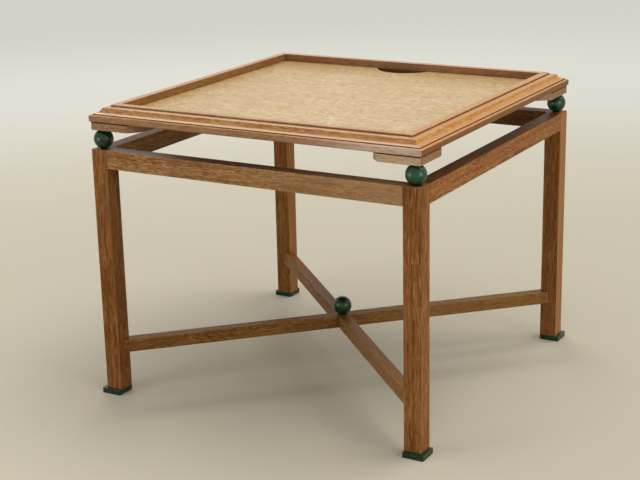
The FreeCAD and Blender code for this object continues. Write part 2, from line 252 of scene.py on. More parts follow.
def oak_figure(name, stroke_size, fleck_size, ripple_reach):
    """A node group that turns a place in the log into the marks of oak, each from 0 to 1."""
    group = bpy.data.node_groups.new(name, "ShaderNodeTree")
    group.interface.new_socket("Log place", in_out="INPUT", socket_type="NodeSocketVector")
    for mark in ("Rings", "Streaks", "Strokes", "Flecks", "Pores"):
        group.interface.new_socket(mark, in_out="OUTPUT", socket_type="NodeSocketFloat")
    place = add(group, "NodeGroupInput").outputs["Log place"]

    # Trees aren't round and straight: a slow wander bends the rings and the grain.
    bent = bent_grain(group, place, WANDER_SIZE, WANDER_REACH)
    crosswise = {0: bent, 1: (0.0, 1.0, 1.0)}
    across = add(group, "ShaderNodeVectorMath", crosswise, operation="MULTIPLY").outputs[0]
    from_heart = add(group, "ShaderNodeVectorMath", {0: across}, operation="LENGTH").outputs["Value"]
    growth = {0: from_heart, 1: RING_WIDTH}
    ring_count = add(group, "ShaderNodeMath", growth, operation="DIVIDE").outputs[0]
    wood = {"W": ring_count, "Scale": 1.0, "Detail": 2.0}
    rings = add(group, "ShaderNodeTexNoise", wood, noise_dimensions="1D").outputs["Fac"]
    seasons = {"Value": rings, "From Min": RING_SPREAD[0], "From Max": RING_SPREAD[1]}
    late_wood = add(group, "ShaderNodeMapRange", seasons, interpolation_type="SMOOTHSTEP")

    # The rays come in patches, because a face cuts them well only here and there.
    rippled = bent_grain(group, bent, RIPPLE_SIZE, ripple_reach)
    flecks = grain_marks(group, rippled, fleck_size, FLECK_SPREAD)
    rays = {0: flecks, 1: grain_marks(group, bent, PATCH_SIZE, PATCH_SPREAD)}
    results = {
        "Rings": late_wood.outputs["Result"],
        "Streaks": grain_marks(group, bent, STREAK_SIZE, STREAK_SPREAD, detail=4.0),
        "Strokes": grain_marks(group, rippled, stroke_size, STROKE_SPREAD),
        "Flecks": add(group, "ShaderNodeMath", rays, operation="MULTIPLY").outputs[0],
        "Pores": grain_marks(group, bent, PORE_SIZE, PORE_SPREAD, detail=1.0),
    }
    add(group, "NodeGroupOutput", results)
    return group


plain_figure = oak_figure("plain_sawn_oak", *PLAIN_CUT)
leg_figure = oak_figure("long_grained_oak", *LONG_CUT)
quartered_figure = oak_figure("quartered_oak", *QUARTERED_CUT)
print("each oak figure has", len(plain_figure.nodes), "nodes")

# %% [markdown]
# ## Where the wood is worn, dusty or glued, and where light and shade are painted
#
# Handling pales the arrises, and the Bevel node finds them: near an edge its softened normal leans
# away from the true one. The same mask also paints the glints that arrises catch. Wax and dust
# darken the inside corners, and painted shade darkens them further; the Ambient Occlusion node finds
# those within a few millimetres. A joint shows as a hair of dark glue, which is simply a place at a
# known distance from the middle of the table.

# %% Masks for wear, dust, painted glints and painted shade
# Each pair says where a mask is 0 and where it is 1.
FLAT_FACE = 0.995
FULL_ARRIS = 0.90
OPEN_CORNER = 0.80
DEEP_CORNER = 0.30
SLOPING = 0.80
LEVEL = 0.98
OBLIQUE = 0.6
SIDEWAYS = 0.9


def worn_and_glinting_edges(tree, radius):
    """A mask that is 1 on arrises and 0 on flat faces, for wear and painted glints."""
    soft = add(tree, "ShaderNodeBevel", {"Radius": radius}, samples=6).outputs["Normal"]
    true = add(tree, "ShaderNodeNewGeometry").outputs["Normal"]
    agreement = add(tree, "ShaderNodeVectorMath", {0: soft, 1: true}, operation="DOT_PRODUCT")
    turned = {"Value": agreement.outputs["Value"], "From Min": FLAT_FACE, "From Max": FULL_ARRIS}
    return add(tree, "ShaderNodeMapRange", turned).outputs["Result"]


def dust_and_shade_corners(tree, reach):
    """A mask that is 1 deep in an inside corner and 0 in the open, for dust and painted shade."""
    openness = add(tree, "ShaderNodeAmbientOcclusion", {"Distance": reach}, samples=8).outputs["AO"]
    closed = {"Value": openness, "From Min": OPEN_CORNER, "From Max": DEEP_CORNER}
    return add(tree, "ShaderNodeMapRange", closed, interpolation_type="SMOOTHSTEP").outputs["Result"]


def level_faces(tree):
    """A mask for faces that look up."""
    normal = add(tree, "ShaderNodeNewGeometry").outputs["Normal"]
    height = add(tree, "ShaderNodeSeparateXYZ", {"Vector": normal}).outputs["Z"]
    level = {"Value": height, "From Min": SLOPING, "From Max": LEVEL}
    return add(tree, "ShaderNodeMapRange", level).outputs["Result"]


def side_faces(tree):
    """A mask for faces that look to the left or to the right."""
    normal = add(tree, "ShaderNodeNewGeometry").outputs["Normal"]
    apart = add(tree, "ShaderNodeVectorMath", {0: normal}, operation="ABSOLUTE").outputs[0]
    across = add(tree, "ShaderNodeSeparateXYZ", {"Vector": apart}).outputs["X"]
    facing = {"Value": across, "From Min": OBLIQUE, "From Max": SIDEWAYS}
    return add(tree, "ShaderNodeMapRange", facing).outputs["Result"]


print("the mask for arrises runs from", FLAT_FACE, "to", FULL_ARRIS)

# %% Masks for places on the table
GLUE_LINE = 0.8 * MM
LEG_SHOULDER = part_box("leg_front_right")[0].x
SHEEN_FROM = -0.16
SHEEN_TO = -0.30


def place_along(tree, axis):
    """How far along one axis of the table a place lies."""
    place = add(tree, "ShaderNodeTexCoord").outputs["Object"]
    return add(tree, "ShaderNodeSeparateXYZ", {"Vector": place}).outputs[axis]


def growing(start, end, axis="X"):
    """A mask maker: along the axis the mask grows from 0 at the start to 1 at the end."""
    def mask(tree):
        reach = {"Value": place_along(tree, axis), "From Min": start, "From Max": end}
        return add(tree, "ShaderNodeMapRange", reach, interpolation_type="SMOOTHSTEP").outputs["Result"]
    return mask


def left_end_sheen(tree):
    """A mask for level faces near the left hand end, where a pale sheen is painted."""
    both = {0: growing(SHEEN_FROM, SHEEN_TO)(tree), 1: level_faces(tree)}
    return add(tree, "ShaderNodeMath", both, operation="MULTIPLY").outputs[0]


def distances(tree):
    """How far a place is from the middle of the table, first along x and then along y."""
    place = add(tree, "ShaderNodeTexCoord").outputs["Object"]
    apart = add(tree, "ShaderNodeVectorMath", {0: place}, operation="ABSOLUTE").outputs[0]
    parts = add(tree, "ShaderNodeSeparateXYZ", {"Vector": apart}).outputs
    return parts["X"], parts["Y"]


def either_line(tree, pairs, width):
    """A mask for two lines: 1 where a distance of the (distance, line) pairs is within the width."""
    lines = []
    for distance, line in pairs:
        near = {0: distance, 1: line, 2: width}
        lines.append(add(tree, "ShaderNodeMath", near, operation="COMPARE").outputs[0])
    return add(tree, "ShaderNodeMath", {0: lines[0], 1: lines[1]}, operation="MAXIMUM").outputs[0]


def mitre_line(tree):
    """A mask for the mitres, which lie where x and y are equally far from the middle."""
    along_x, along_y = distances(tree)
    near = {0: along_x, 1: along_y, 2: GLUE_LINE}
    return add(tree, "ShaderNodeMath", near, operation="COMPARE").outputs[0]


def shoulder_line(tree):
    """A mask for the joints of rails and legs, which lie at the inner face of each leg."""
    return either_line(tree, [(distance, LEG_SHOULDER) for distance in distances(tree)], GLUE_LINE)


print("glue lines are", GLUE_LINE / MM, "mm wide to either side")

# %% [markdown]
# ## One oak material for each piece
#
# Each piece was cut from its own place in a log and runs in its own direction, so each gets its
# own material, made by one function. A Mapping node turns the piece's length onto the log's X and
# moves the piece to a chosen distance from the heart. The finish is a waxed satin polish: face on
# it hardly shows, and at a grazing angle it mirrors the pale room, which is why level surfaces look
# lighter and pinker than upright ones. The Fresnel effect in the shader does that, and on the frame a
# pale painted sheen on the level faces adds to it.

# %% The function that makes an oak material
GRAIN_TURNS = {
    "x": Euler((0, 0, 0)),
    "y": Euler((0, 0, -math.pi / 2)),
    "z": Euler((0, math.pi / 2, 0)),
    "diagonal_up": Euler((0, 0, -math.pi / 4)),
    "diagonal_down": Euler((0, 0, -3 * math.pi / 4)),
}
WAX_IOR = 1.45
CLOSED_GRAIN = -0.03
OPEN_GRAIN = 0.12
PORE_DEPTH = 0.25 * MM
RING_STRENGTH = 0.35
STREAK_STRENGTH = 0.55
STROKE_STRENGTH = 0.60
PORE_STRENGTH = 0.35
DUST_GLUE_AND_SHADE = "#2c1508"
ARRIS_WEAR_AND_GLINT = 1.6 * MM
CORNER_DUST_AND_SHADE = 6 * MM


def log_place(tree, node_name, grain, along, heart_y, heart_z):
    """The piece's place in its log: turned onto the grain, then moved away from the heart."""
    low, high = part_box(node_name)
    turn = GRAIN_TURNS[grain]
    middle = turn.to_matrix() @ ((low + high) / 2)
    shift = Vector((along, heart_y, heart_z)) - middle
    coordinates = add(tree, "ShaderNodeTexCoord").outputs["Object"]
    moved = {"Vector": coordinates, "Location": shift, "Rotation": turn}
    return add(tree, "ShaderNodeMapping", moved).outputs["Vector"]


def oak_material(node_name, grain, place, tones, figure=plain_figure, contrast=1.0, fleck=0.8,
                 wear_and_glint="#d0a06a", worn_and_glinting=0.45, polish=0.36, gloss=0.06, dust_and_shade=0.85, more_layers=()):
    """Waxed oak: place is (along, heart_y, heart_z) in m, tones are (dark, middle, light)."""
    material, tree, shader = new_material("waxed_oak_" + node_name)
    in_log = {"Log place": log_place(tree, node_name, grain, *place)}
    marks = add(tree, "ShaderNodeGroup", in_log, node_tree=figure)
    rings, streaks, strokes, flecks, pores = marks.outputs
    dark, middle, light = tones

    # Summer wood, long uneven streaks, dark strokes between the rays, then the rays and the pores.
    layers = [
        (rings, RING_STRENGTH * contrast, dark),
        (streaks, STREAK_STRENGTH * contrast, light),
        (strokes, STROKE_STRENGTH * contrast, dark),
        (flecks, fleck, light),
        (pores, PORE_STRENGTH * contrast, dark),
    ]
    layers += [(mask(tree), strength, colour) for mask, strength, colour in more_layers]
    # The arrises are paled for wear and for the glints they catch, which are painted.
    layers.append((worn_and_glinting_edges(tree, ARRIS_WEAR_AND_GLINT), worn_and_glinting, wear_and_glint))
    # Dust and painted shade darken the inside corners.
    layers.append((dust_and_shade_corners(tree, CORNER_DUST_AND_SHADE), dust_and_shade, DUST_GLUE_AND_SHADE))

    # The wax is a little duller over the pores, which stay open grooves.
    dull = {"Value": pores, "To Min": polish + CLOSED_GRAIN, "To Max": polish + OPEN_GRAIN}
    deep = {"Value": pores, "To Min": 1.0, "To Max": 0.0}
    surface = add(tree, "ShaderNodeMapRange", deep).outputs["Result"]
    groove = {"Height": surface, "Strength": 0.4, "Distance": PORE_DEPTH}
    fill(tree, shader, {
        "Base Color": layered(tree, middle, layers),
        "Roughness": add(tree, "ShaderNodeMapRange", dull).outputs["Result"],
        "IOR": WAX_IOR,
        "Specular IOR Level": gloss,
        "Normal": add(tree, "ShaderNodeBump", groove).outputs["Normal"],
    })
    return material


def dress(node_name, material):
    """Give a CAD node its material, in place of the plain one that it came with."""
    for material_slot in nodes[node_name].material_slots:
        material_slot.material = material


print("ways for the grain to run:", ", ".join(GRAIN_TURNS))

# %% [markdown]
# ## Legs, rails and stretchers
#
# The stand is one kind of oak, a warm orange brown, but no two pieces match exactly, because each
# lies elsewhere in its log. Part of what tells them apart is painted light and shade. The leg nearest
# the room gets lighter tones as painted light, and the side faces of the two back legs are painted
# lighter for the light from the window at the right. The back rail gets darker tones as painted shade
# under the top. The tops of the rails get painted shade, nearly black, where the frame shades them,
# less of it on the left rail, and at the left hand end of the front rail a pale painted sheen lies
# over it. The right half of the front rail and of the stretchers is painted lighter for the light from
# the right, and the tops of the stretchers get painted shade. Where a rail meets a leg the glue has
# left a hair of a dark line.
#
# This cell has a few tones for the wood, and one layer for each mark on a face.

# %% Dress the stand
# The near leg gets lighter tones than the others as painted light.
LIT_NEAR_LEG_TONES = ("#5a3010", "#8f5527", "#cd9156")
LEG_TONES = ("#522b0f", "#865025", "#ba8048")
RAIL_TONES = ("#643814", "#a66c34", "#d2a36c")
RIGHT_RAIL_TONES = ("#5e2c0a", "#9d591e", "#d29452")
# The back rail gets darker tones as painted shade under the top.
SHADED_BACK_RAIL_TONES = ("#43230e", "#70431f", "#946238")
STRETCHER_TONES = ("#543210", "#8b5828", "#b58249")

# Each leg: its place in the log, its tones, and how much painted light its side faces get.
LEGS = {
    "leg_front_left": ((0.3, 0.075, 0.020), LEG_TONES, 0.0),
    "leg_front_right": ((2.0, 0.034, 0.086), LIT_NEAR_LEG_TONES, 0.0),
    "leg_back_right": ((3.1, 0.085, 0.045), LEG_TONES, 0.55),
    "leg_back_left": ((4.6, 0.060, 0.070), LEG_TONES, 0.45),
}
# Painted shade for the tops of the rails under the frame, less on the left rail, which catches a sheen.
SHADED_RAIL_TOP = "#3a1c0c"
HALF_SHADED_RAIL_TOP = "#744722"

# Each rail: its grain, its place in the log, its tones, and the painted shade on its top.
RAILS = {
    "rail_front": ("x", (0.9, 0.095, 0.015), RAIL_TONES, SHADED_RAIL_TOP),
    "rail_right": ("y", (2.3, 0.085, 0.030), RIGHT_RAIL_TONES, SHADED_RAIL_TOP),
    "rail_back": ("x", (3.9, 0.070, 0.050), SHADED_BACK_RAIL_TONES, SHADED_RAIL_TOP),
    "rail_left": ("y", (5.2, 0.100, 0.010), RAIL_TONES, HALF_SHADED_RAIL_TOP),
}
STRETCHERS = {
    "stretcher_lower": ("diagonal_up", (6.1, 0.065, 0.030)),
    "stretcher_upper": ("diagonal_down", (7.7, 0.030, 0.075)),
}
# Painted light from the right on the right half of the front rail.
LIGHT_FROM_RIGHT_ON_RAIL = (growing(start=-0.10, end=0.40), 0.40, "#d0a47a")
# A pale painted sheen on the level faces at the left end of the front rail.
SHEEN_AT_LEFT_END = (left_end_sheen, 0.85, "#c0b0a0")
# Painted light from the right on the right half of the stretchers.
LIGHT_FROM_RIGHT_ON_STRETCHERS = (growing(start=-0.10, end=0.20), 0.22, "#c4945c")
# Painted shade on the tops of the stretchers.
SHADED_STRETCHER_TOP = (level_faces, 0.25, "#7a4a20")
# Each leg gets painted light on its side faces, as strong as its entry says.
for name, (place, tones, painted_side_light) in LEGS.items():
    layers = [(side_faces, painted_side_light, "#cb9054")]
    dress(name, oak_material(name, "z", place, tones, figure=leg_figure, contrast=0.75, fleck=0.7,
                             more_layers=layers))
# Each rail gets painted shade on its top, and the glue lines where it meets the legs.
for name, (grain, place, tones, top) in RAILS.items():
    layers = [(level_faces, 0.70, top), (shoulder_line, 0.5, DUST_GLUE_AND_SHADE)]
    if name == "rail_front":
        layers += [LIGHT_FROM_RIGHT_ON_RAIL, SHEEN_AT_LEFT_END]
    dress(name, oak_material(name, grain, place, tones, more_layers=layers))
for name, (grain, place) in STRETCHERS.items():
    layers = [LIGHT_FROM_RIGHT_ON_STRETCHERS, SHADED_STRETCHER_TOP]
    dress(name, oak_material(name, grain, place, STRETCHER_TONES, more_layers=layers))
print("stand pieces dressed:", len(LEGS) + len(RAILS) + len(STRETCHERS))

# %% [markdown]
# ## The moulded frame and its corner pads
#
# The frame is paler than the stand, and hands have polished it, so it shines a little more. Its
# grain follows each length round to the mitre, where it turns a corner at a fine dark glue line.
# The mouldings are told apart by painted light and shade. Level faces get a pale painted sheen, and
# the toe of the front length a painted highlight. The two narrow quirks, the inner walls of the tray
# and the ledge under the panel get painted shade. The band round the edge is painted darker below its
# nose, as shade on its upright face. At the front right corner, where most hands take hold, its nose
# is worn pale in scuffs under a painted glare, and the right length gets lighter, warmer tones as
# painted light from the window at the right.
#
# Each of these is a layer whose mask is a place in the moulding, measured in from its outer edge or
# up from its foot, so the masks follow the solid exactly and need no painting.

# %% Masks for the members of the moulding
# Heights are set out from the frame's foot and top, and the other lines inwards from its outer face.
FRAME_LOW, FRAME_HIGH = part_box("frame_front")
PANEL_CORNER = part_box("playing_panel")[1]
BAND_TOP = FRAME_LOW.z + 17 * MM
BAND_SHADE_TOP = FRAME_LOW.z + 14 * MM
RIM_SHOULDER = FRAME_HIGH.z - 2.2 * MM
TRAY_WALL = PANEL_CORNER.x + 2 * MM
QUIRKS = (FRAME_HIGH.x - 7 * MM, FRAME_HIGH.x - 39 * MM)
QUIRK_REACH = 1.3 * MM
TOE = FRAME_HIGH.x - 12 * MM
TOE_REACH = 5 * MM
GLARE_AND_WEAR_FROM = 0.08
GLARE_AND_WEAR_TO = 0.40
SCUFF_SIZE = (24 * MM, 4 * MM)
SCUFF_SPREAD = (0.42, 0.58)
EVEN_GLARE_AND_WEAR = 0.72
WORN_BY_SCUFFS = 0.40


def below(top):
    """A mask maker: the mask is 1 for what lies lower than the top."""
    def mask(tree):
        heights = {0: place_along(tree, "Z"), 1: top}
        return add(tree, "ShaderNodeMath", heights, operation="LESS_THAN").outputs[0]
    return mask


def band_glare_and_wear(tree):
    """A mask for the band, the lowest member, growing towards the right hand corner, for its wear and
    its painted glare.
    """
    along = growing(GLARE_AND_WEAR_FROM, GLARE_AND_WEAR_TO)(tree)
    band = {0: along, 1: below(BAND_TOP)(tree)}
    nose = add(tree, "ShaderNodeMath", band, operation="MULTIPLY").outputs[0]

    # Bare wood takes knocks, so a part of the wear comes and goes in scuffs.
    place = add(tree, "ShaderNodeTexCoord").outputs["Object"]
    scuffs = grain_marks(tree, place, SCUFF_SIZE, SCUFF_SPREAD)
    wear_and_glint = {0: scuffs, 1: WORN_BY_SCUFFS, 2: EVEN_GLARE_AND_WEAR}
    patchy = add(tree, "ShaderNodeMath", wear_and_glint, operation="MULTIPLY_ADD").outputs[0]
    return add(tree, "ShaderNodeMath", {0: nose, 1: patchy}, operation="MULTIPLY").outputs[0]


def from_middle(tree):
    """How far a place on the frame is from the middle of the table, square to its side."""
    along_x, along_y = distances(tree)
    return add(tree, "ShaderNodeMath", {0: along_x, 1: along_y}, operation="MAXIMUM").outputs[0]


def quirk_shade_lines(tree):
    """A mask for the two quirks of the moulding, where shade is painted."""
    widest = from_middle(tree)
    either = either_line(tree, [(widest, quirk) for quirk in QUIRKS], QUIRK_REACH)
    deep = below(RIM_SHOULDER)(tree)
    return add(tree, "ShaderNodeMath", {0: either, 1: deep}, operation="MULTIPLY").outputs[0]


def toe_highlight(tree):
    """A mask for the level toe of the ogee, where a pale highlight is painted."""
    near = {0: from_middle(tree), 1: TOE, 2: TOE_REACH}
    toe = add(tree, "ShaderNodeMath", near, operation="COMPARE").outputs[0]
    return add(tree, "ShaderNodeMath", {0: toe, 1: level_faces(tree)}, operation="MULTIPLY").outputs[0]


def tray_wall(tree):
    """A mask for the inner walls of the tray, where shade is painted."""
    inside = {0: from_middle(tree), 1: TRAY_WALL}
    return add(tree, "ShaderNodeMath", inside, operation="LESS_THAN").outputs[0]


def ledge(tree):
    """A mask for the ledge under the panel, painted dark as the shaded hollow seen through the notch.
    """
    parts = {0: tray_wall(tree), 1: below(PANEL_CORNER.z)(tree)}
    return add(tree, "ShaderNodeMath", parts, operation="MULTIPLY").outputs[0]


print("quirks lie", [round(quirk / MM) for quirk in QUIRKS], "mm from the middle")

# %% Dress the frame
FRAME_TONES = ("#7d481a", "#b4763a", "#dcaa70")
# The right length gets lighter, warmer tones as painted light from the window at the right.
LIT_RIGHT_FRAME_TONES = ("#94581c", "#d68f44", "#eab670")

# Each length: its grain, its place in the log, its tones, its gloss, and the painted shade on its band.
MOULDINGS = {
    "frame_front": ("x", (8.2, 0.110, 0.020), FRAME_TONES, 0.25, 0.45),
    "frame_right": ("y", (9.4, 0.090, 0.040), LIT_RIGHT_FRAME_TONES, 0.10, 0.80),
    "frame_back": ("x", (10.8, 0.105, 0.030), FRAME_TONES, 0.45, 0.45),
    "frame_left": ("y", (12.1, 0.095, 0.025), FRAME_TONES, 0.20, 0.45),
}
# A pale painted sheen on the level faces.
PAINTED_SHEEN_ON_TOPS = (level_faces, 0.40, "#e6b27e")
# Painted shade on the inner walls of the tray and on the ledge seen through the notch.
PAINTED_TRAY_SHADE = [(tray_wall, 0.50, "#744f29"), (ledge, 0.60, "#1c0e06")]
# A painted highlight on the toe, and wear under a painted glare on the band near the right hand corner.
FRONT_GLARE_AND_WEAR = [(toe_highlight, 0.80, "#ffdab4"), (band_glare_and_wear, 0.85, "#e8cab2")]
# Painted shade in the quirks, and the glue lines at the mitres.
QUIRK_SHADE_AND_GLUE = [(quirk_shade_lines, 0.70, "#5c2c0a"), (mitre_line, 0.6, DUST_GLUE_AND_SHADE)]
for name, (grain, place, tones, gloss, band_shade) in MOULDINGS.items():
    # The band is painted darker below its nose, as shade on its upright face.
    layers = [PAINTED_SHEEN_ON_TOPS, *PAINTED_TRAY_SHADE, (below(BAND_SHADE_TOP), band_shade, "#7c4618")]
    if name == "frame_front":
        layers += FRONT_GLARE_AND_WEAR
    layers += QUIRK_SHADE_AND_GLUE
    dress(name, oak_material(name, grain, place, tones, contrast=0.7, wear_and_glint="#eccaa4", worn_and_glinting=0.7,
                             polish=0.28, gloss=gloss, dust_and_shade=0.30, more_layers=layers))
print("mouldings dressed:", len(MOULDINGS))

# %% [markdown]
# The pads under the corners are plain offcuts of the same oak. Two of them get pale tones as a painted
# sheen, and their ends, whose open end grain is darker and which turn away from the light, get
# painted shade. The rounded arris at the top of every pad lies in a crevice under the band, and the
# shadow of the band is painted on it.

# %% Dress the corner pads
PAD_TONES = ("#74502e", "#9e744c", "#c29a72")
# The pale tones of two pads are a painted sheen.
SHEEN_PAD_TONES = ("#a87c50", "#dab286", "#efd0a8")
# Painted shade, with darker end grain, on the ends of the pale pads.
SHADED_ENDS = (side_faces, 0.75, "#9a6836")
PADS = {
    "corner_pad_front_left": ("x", (13.0, 0.080, 0.050), PAD_TONES),
    "corner_pad_front_right": ("x", (14.1, 0.070, 0.060), SHEEN_PAD_TONES),
    "corner_pad_back_right": ("x", (15.3, 0.090, 0.030), SHEEN_PAD_TONES),
    "corner_pad_back_left": ("y", (16.6, 0.060, 0.070), PAD_TONES),
}
PAD_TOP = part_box("corner_pad_front_left")[1].z
CREVICE = 2.8 * MM


def crevice(tree):
    """A mask for the rounded upper arris of a pad, where the shadow of the band is painted."""
    heights = {0: place_along(tree, "Z"), 1: PAD_TOP - CREVICE}
    return add(tree, "ShaderNodeMath", heights, operation="GREATER_THAN").outputs[0]


for name, (grain, place, tones) in PADS.items():
    layers = [SHADED_ENDS] if tones == SHEEN_PAD_TONES else []
    # The shadow of the band is painted on the top arris of every pad.
    layers.append((crevice, 0.95, "#2e1004"))
    dress(name, oak_material(name, grain, place, tones, contrast=0.7, wear_and_glint="#e6c9a6",
                             more_layers=layers))
print("pads dressed:", len(PADS))

# %% [markdown]
# ## The playing panel
#
# The loose panel is faced with pale, straw coloured oak cut on the quarter, so broad flecks ripple
# over it. It has no stain, so even its darkest strokes are light, and a thin wax keeps the gloss
# low. Towards the left and the far wall it is painted darker, as the shade of the walls of the tray.

# %% Dress the playing panel
PANEL_TONES = ("#bb8b4b", "#dab06d", "#f4d9a1")
PANEL_PLACE = (18.0, 0.35, 0.55)
# Painted shade towards the left and the far wall of the tray.
PAINTED_SHADE_TO_THE_LEFT = (growing(start=-0.05, end=-0.42), 0.22, "#a87a3c")
PAINTED_SHADE_TO_THE_BACK = (growing(start=0.16, end=0.39, axis="Y"), 0.30, "#a07238")
panel_material = oak_material("playing_panel", "x", PANEL_PLACE, PANEL_TONES, figure=quartered_figure,
                              fleck=1.0, wear_and_glint="#e3c79c", polish=0.24, gloss=0.14,
                              more_layers=[PAINTED_SHADE_TO_THE_LEFT, PAINTED_SHADE_TO_THE_BACK])
dress("playing_panel", panel_material)
print("panel dressed with", panel_material.name)

# %% [markdown]
# ## Green paint
#
# The balls and the foot plates are turned and sawn beech under several coats of dark green
# enamel, brushed on. The coats are uneven, so the colour clouds slightly, and the gloss has worn to
# a satin that spreads the windows into soft lights. The centre ball and the front left one get a
# darker copy of the enamel as painted shade. Along the arrises of the plates the paint is rubbed thin
# and greyer, and their faces, where shoes touch them, are the darkest and dullest of all.

# %% Paint the balls and foot plates
CLOUD_SIZE = 14 * MM
CLOUD_SPREAD = (0.35, 0.65)
SPECK_SIZE = 3 * MM
SPECK_SPREAD = (0.50, 0.70)
PAINT_WEAR = 2.5 * MM
THICK_COAT_ROUGHNESS = 0.17
THIN_COAT_ROUGHNESS = 0.28
BRUSH_MARK_DEPTH = 0.4 * MM


def green_enamel(name, deep, bright, gloss):
    """Old brushed enamel, from the deep tone of a thick coat to the bright one of a thin."""
    material, tree, shader = new_material(name)
    clouds = round_marks(tree, CLOUD_SIZE, CLOUD_SPREAD, detail=3.0)
    specks = round_marks(tree, SPECK_SIZE, SPECK_SPREAD)
    rubbed = {0: worn_and_glinting_edges(tree, PAINT_WEAR), 1: specks}
    patchy = add(tree, "ShaderNodeMath", rubbed, operation="MULTIPLY").outputs[0]
    layers = [
        (clouds, 1.0, bright),
        (specks, 0.25, "#3a6b45"),
        (patchy, 0.6, "#6f8468"),
        # Painted shade darkens the seats of the balls and the corners of the plates.
        (dust_and_shade_corners(tree, CORNER_DUST_AND_SHADE), 0.7, "#08120a"),
    ]
    coats = {"Value": clouds, "To Min": THICK_COAT_ROUGHNESS, "To Max": THIN_COAT_ROUGHNESS}
    brushed = {"Height": specks, "Strength": 0.25, "Distance": BRUSH_MARK_DEPTH}
    fill(tree, shader, {
        "Base Color": layered(tree, deep, layers),
        "Roughness": add(tree, "ShaderNodeMapRange", coats).outputs["Result"],
        "Specular IOR Level": gloss,
        "Normal": add(tree, "ShaderNodeBump", brushed).outputs["Normal"],
    })
    return material


ball_enamel = green_enamel("green_brushed_enamel", "#0c3219", "#175433", 0.44)
# The darker copy of the enamel is painted shade.
painted_shade_enamel = green_enamel("painted_shade_green_enamel", "#0f2611", "#1a4021", 0.35)
plate_enamel = green_enamel("scuffed_green_enamel", "#0c2311", "#183b1e", 0.33)
for corner in ("front_left", "front_right", "back_right", "back_left"):
    dress("ball_" + corner, painted_shade_enamel if corner == "front_left" else ball_enamel)
    dress("foot_plate_" + corner, plate_enamel)
dress("ball_centre", painted_shade_enamel)
print("enamels:", ball_enamel.name, painted_shade_enamel.name, plate_enamel.name)

# %% [markdown]
# ## Hidden wood and cloth
#
# Most of these show only from below or when the panel is lifted out. They still get their real
# materials, because the table can be seen from any side and its panel can be raised. The bottom
# board is birch plywood, given a dark tone as painted shade, so that the hollow of the notch stays
# dark. The dowels and mitre keys are beech, and the underside of the panel is covered with baize, a
# wool cloth felted until no weave shows.

# %% Dress the hidden wood and cloth
BEECH_TONES = ("#a87e55", "#c29a6e", "#d3b189")
BEECH_PLACE = (20.0, 0.12, 0.05)
SHADE_DARK_BIRCH_TONES = ("#3b2413", "#4c311b", "#5f4026")
BIRCH_PLACE = (22.0, 0.30, 0.10)
BARE_WOOD = 0.6
NAP_SIZE = 1.5 * MM
NAP_DEPTH = 0.3 * MM
FADE_SIZE = 90 * MM
SOFT_SPREAD = (0.3, 0.7)


def green_baize():
    """Wool baize: a short felted nap that scatters light at grazing angles."""
    material, tree, shader = new_material("green_wool_baize")
    nap = round_marks(tree, NAP_SIZE, SOFT_SPREAD, detail=3.0)
    fading = round_marks(tree, FADE_SIZE, SOFT_SPREAD)
    layers = [(nap, 1.0, "#1c6a40"), (fading, 0.3, "#0a3a20")]
    felted = {"Height": nap, "Strength": 0.5, "Distance": NAP_DEPTH}
    fill(tree, shader, {
        "Base Color": layered(tree, "#0d4a2a", layers),
        "Roughness": 0.95,
        "Specular IOR Level": 0.1,
        "Sheen Weight": 0.25,
        "Sheen Roughness": 0.5,
        "Sheen Tint": linear("#4f9a6a"),
        "Normal": add(tree, "ShaderNodeBump", felted).outputs["Normal"],
    })
    return material


for name in ("stretcher_dowels", "ball_centre_dowel", "mitre_keys"):
    dress(name, oak_material(name, "x", BEECH_PLACE, BEECH_TONES, contrast=0.4, fleck=0.2,
                             polish=BARE_WOOD))
# The dark tone of the bottom board is painted shade for the hollow of the notch.
dress("bottom_board", oak_material("bottom_board", "x", BIRCH_PLACE, SHADE_DARK_BIRCH_TONES, contrast=0.5,
                                   fleck=0.0, wear_and_glint="#8a6a48", polish=BARE_WOOD))
baize = green_baize()
print("hidden wood dressed, and the finish of the cloth is", baize.name)

# %% [markdown]
# The baize itself is a sheet of cloth. It was cut with shears to the outline of the panel, two
# millimetres smaller all round, and laid into glue. So it is made in the same order here: first the
# outline with the curve of the finger notch, then the thickness, then the soft cut edges. A glued
# cloth lies quite flat, so it needs no simulation.

# %% Cut the baize and lay it under the panel
NOTCH_WIDTH = 154 * MM
NOTCH_DEPTH = 54 * MM
NOTCH_OFFSET = -12 * MM
NOTCH_STEPS = 40
CUT_EDGE = 0.3 * MM


def baize_outline(half):
    """The outline of the cloth from above: a square whose far side goes round the notch."""
    radius = ((NOTCH_WIDTH / 2) ** 2 + NOTCH_DEPTH ** 2) / (2 * NOTCH_DEPTH)
    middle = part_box("playing_panel")[1].y - NOTCH_DEPTH + radius
    reach = math.acos((middle - half) / radius)
    turns = [reach - 2 * reach * step / NOTCH_STEPS for step in range(NOTCH_STEPS + 1)]
    arc = [(NOTCH_OFFSET + radius * math.sin(turn), middle - radius * math.cos(turn)) for turn in turns]
    return [(-half, -half), (half, -half), (half, half), *arc, (-half, half)]


def area_inside(outline):
    """The area inside an outline, by the shoelace formula."""
    sides = zip(outline, outline[1:] + outline[:1])
    return abs(sum(x1 * y2 - x2 * y1 for (x1, y1), (x2, y2) in sides)) / 2


